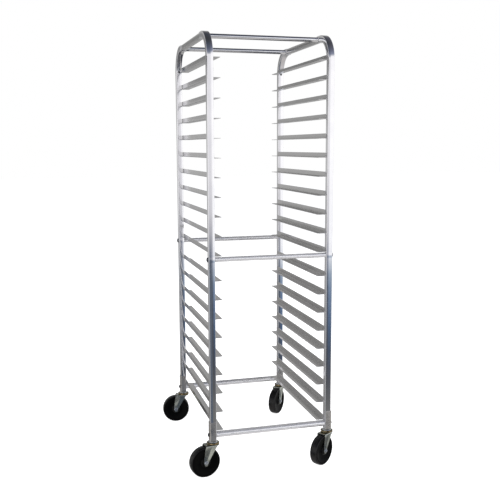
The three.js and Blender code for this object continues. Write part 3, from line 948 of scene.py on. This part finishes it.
def add_floor():
    reach = 30.0
    mesh = bpy.data.meshes.new("floor")
    corners = [(-reach, -reach, 0), (reach, -reach, 0), (reach, reach, 0), (-reach, reach, 0)]
    mesh.from_pydata(corners, [], [(0, 1, 2, 3)])
    floor = bpy.data.objects.new("floor", mesh)
    scene.collection.objects.link(floor)
    made, tree, shader = empty_material("floor_pale")
    place = node(tree, "ShaderNodeTexCoord").outputs["Object"]
    tone = blend(tree, noise(tree, place, 1.5), (0.50, 0.50, 0.50), (0.53, 0.53, 0.53))
    link(tree, tone, shader.inputs["Base Color"])
    shader.inputs["Roughness"].default_value = 0.9
    shader.inputs["Specular IOR Level"].default_value = 0.0
    shader.inputs["Emission Color"].default_value = (1, 1, 1, 1)
    shader.inputs["Emission Strength"].default_value = 0.92
    mesh.materials.append(made)
    floor.visible_glossy = False


def ramp(tree, value, stops):
    """Colours by elevation in degrees, over the whole sphere."""
    made = node(tree, "ShaderNodeValToRGB")
    link(tree, value, made.inputs["Fac"])
    elements = made.color_ramp.elements
    while len(elements) < len(stops):
        elements.new(0.5)
    for element, (degrees, colour) in zip(elements, stops):
        element.position = (math.sin(math.radians(degrees)) + 1) / 2
        element.color = (*colour, 1)
    return made.outputs["Color"]


# Colours of the room by elevation in degrees
UNDERFOOT = [
    (-90, (0.50, 0.48, 0.47)), (-40, (0.62, 0.60, 0.60)), (-25, (0.32, 0.32, 0.32)),
    (-19.5, (0.155, 0.155, 0.155)),
]
AHEAD = [
    *UNDERFOOT,
    (-16.5, (0.06, 0.064, 0.072)), (-13, (0.080, 0.085, 0.105)), (-11, (0.080, 0.095, 0.125)),
    (-9.5, (0.12, 0.15, 0.20)), (-8.4, (0.36, 0.38, 0.46)), (-7, (0.38, 0.38, 0.42)),
    (-4, (0.74, 0.73, 0.76)), (2, (0.88, 0.87, 0.90)), (15, (0.88, 0.87, 0.90)),
    (20, (0.38, 0.40, 0.46)), (26, (0.20, 0.22, 0.29)), (40, (0.105, 0.12, 0.17)),
    (62, (0.065, 0.075, 0.10)), (90, (0.045, 0.047, 0.05)),
]
ASIDE = [
    *UNDERFOOT,
    (-16.5, (0.065, 0.075, 0.10)), (-13.5, (0.08, 0.13, 0.22)), (-11, (0.15, 0.22, 0.35)),
    (-9.5, (0.34, 0.42, 0.52)), (-7.8, (1.05, 1.05, 1.08)), (0, (1.15, 1.14, 1.15)),
    (20, (1.12, 1.10, 1.12)), (25, (0.62, 0.63, 0.68)), (30, (0.28, 0.30, 0.40)),
    (44, (0.15, 0.16, 0.22)), (60, (0.10, 0.10, 0.125)), (90, (0.04, 0.042, 0.046)),
]
BEHIND = [
    (-90, (0.50, 0.48, 0.47)), (-30, (0.36, 0.355, 0.35)), (-19, (0.262, 0.26, 0.258)),
    (-15, (0.315, 0.312, 0.31)), (-11, (0.348, 0.346, 0.345)), (-7, (0.42, 0.418, 0.42)),
    (-3, (0.54, 0.54, 0.54)), (1, (0.52, 0.52, 0.52)), (5, (0.32, 0.32, 0.32)),
    (8.3, (0.26, 0.26, 0.26)), (10, (0.46, 0.457, 0.455)), (15, (0.48, 0.476, 0.473)),
    (22, (0.42, 0.42, 0.42)), (40, (0.13, 0.13, 0.14)), (62, (0.04, 0.04, 0.045)),
    (90, (0.045, 0.047, 0.05)),
]

# Colours of a lit patch, the strip of floor ahead and a dim patch of wall
GLOW = (0.95, 0.94, 0.92)
SLATE = (0.11, 0.13, 0.165)
DUSK = (0.11, 0.11, 0.115)

# Where each softbox stands, and its power
SOFTBOXES = {
    "soft_left": ((-3.2, -2.6, 4.2), 190),
    "soft_right": ((3.4, -1.4, 4.0), 130),
    "soft_rear": ((0.4, 3.8, 4.2), 120),
}
SOFTBOX_SIZE = 3.0
SOFTBOX_TARGET = Vector((0, 0, 0.4))

# The camera's place, its yaw, pitch and roll in degrees, and its lens in millimetres
CAMERA_SPOT = (-0.84522, -3.16407, 1.31554)
CAMERA_TURN = (-15.53, -7.74, -0.16)
CAMERA_LENS = 54.57
SENSOR_WIDTH = 36.0


def rising(tree, value, start, end):
    return spread(tree, value, 0.0, 1.0, start, end)


def falling(tree, value, start, end):
    return spread(tree, value, 1.0, 0.0, start, end)


def room(tree, across, ahead, up):
    """Pale walls, a dim ceiling and a slate floor. The inputs are a direction's X, Y and Z."""
    level = rising(tree, up, -1.0, 1.0)
    absolute = node(tree, "ShaderNodeMath", operation="ABSOLUTE")
    link(tree, across, absolute.inputs[0])
    sideways = absolute.outputs[0]
    aside = rising(tree, sideways, 0.23, 0.33)
    front = blend(tree, aside, ramp(tree, level, AHEAD), ramp(tree, level, ASIDE))
    slate = multiplied(tree, falling(tree, sideways, 0.172, 0.19), falling(tree, up, -0.15, -0.11))
    front = blend(tree, slate, front, SLATE)
    around = blend(tree, rising(tree, ahead, 0.2, 0.7), front, ramp(tree, level, BEHIND))
    band = multiplied(tree, rising(tree, up, 0.102, 0.122), falling(tree, up, 0.144, 0.158))
    dusk = multiplied(tree, falling(tree, across, -0.31, -0.24), band)
    return blend(tree, dusk, around, DUSK)


def lit_patches(tree, across, ahead, up):
    """How far a direction lies in the low lit patches to the right and to the left."""
    rear_right = spread(tree, ahead, 0.0, 0.6, 0.12, 0.34)
    front_right = falling(tree, ahead, -0.56, -0.42)
    right = multiplied(tree, added(tree, rear_right, front_right), rising(tree, across, 0.5, 0.62))
    left = multiplied(tree, falling(tree, across, -0.38, -0.26), falling(tree, ahead, -0.5, -0.3))
    return multiplied(tree, added(tree, right, left), falling(tree, up, -0.2, 0.0))


def add_studio():
    """A world that polished metal sees as a room, and the camera as plain white."""
    world = bpy.data.worlds.new("studio")
    scene.world = world
    world.use_nodes = True
    tree = world.node_tree
    tree.nodes.clear()
    way = node(tree, "ShaderNodeTexCoord").outputs["Generated"]
    split = node(tree, "ShaderNodeSeparateXYZ")
    link(tree, way, split.inputs[0])
    direction = [split.outputs[axis] for axis in "XYZ"]
    seen = blend(tree, lit_patches(tree, *direction), room(tree, *direction), GLOW)
    studio = node(tree, "ShaderNodeBackground")
    link(tree, seen, studio.inputs["Color"])
    plain = node(tree, "ShaderNodeBackground")
    plain.inputs["Color"].default_value = (1, 1, 1, 1)
    chosen = node(tree, "ShaderNodeMixShader")
    link(tree, node(tree, "ShaderNodeLightPath").outputs["Is Camera Ray"], chosen.inputs["Fac"])
    link(tree, studio.outputs[0], chosen.inputs[1])
    link(tree, plain.outputs[0], chosen.inputs[2])
    link(tree, chosen.outputs[0], node(tree, "ShaderNodeOutputWorld").inputs["Surface"])


def add_softbox(name, spot, power):
    data = bpy.data.lights.new(name, "AREA")
    data.shape = "DISK"
    data.size = SOFTBOX_SIZE
    data.energy = power
    made = bpy.data.objects.new(name, data)
    scene.collection.objects.link(made)
    made.location = spot
    made.rotation_mode = "QUATERNION"
    made.rotation_quaternion = (SOFTBOX_TARGET - Vector(spot)).to_track_quat("-Z", "Y")
    made.visible_glossy = False
    made.visible_camera = False


def add_camera():
    data = bpy.data.cameras.new("camera")
    data.sensor_width = SENSOR_WIDTH
    data.lens = CAMERA_LENS
    data.clip_end = 200.0
    camera = bpy.data.objects.new("camera", data)
    scene.collection.objects.link(camera)
    camera.location = CAMERA_SPOT
    yaw, pitch, roll = (math.radians(angle) for angle in CAMERA_TURN)
    level = Matrix.Rotation(yaw, 4, "Z") @ Matrix.Rotation(math.pi / 2 + pitch, 4, "X")
    camera.rotation_mode = "QUATERNION"
    camera.rotation_quaternion = (level @ Matrix.Rotation(roll, 4, "Z")).to_quaternion()
    scene.camera = camera


add_floor()
add_studio()
for name, (spot, power) in SOFTBOXES.items():
    add_softbox(name, spot, power)
add_camera()
scene.view_settings.view_transform = "Standard"
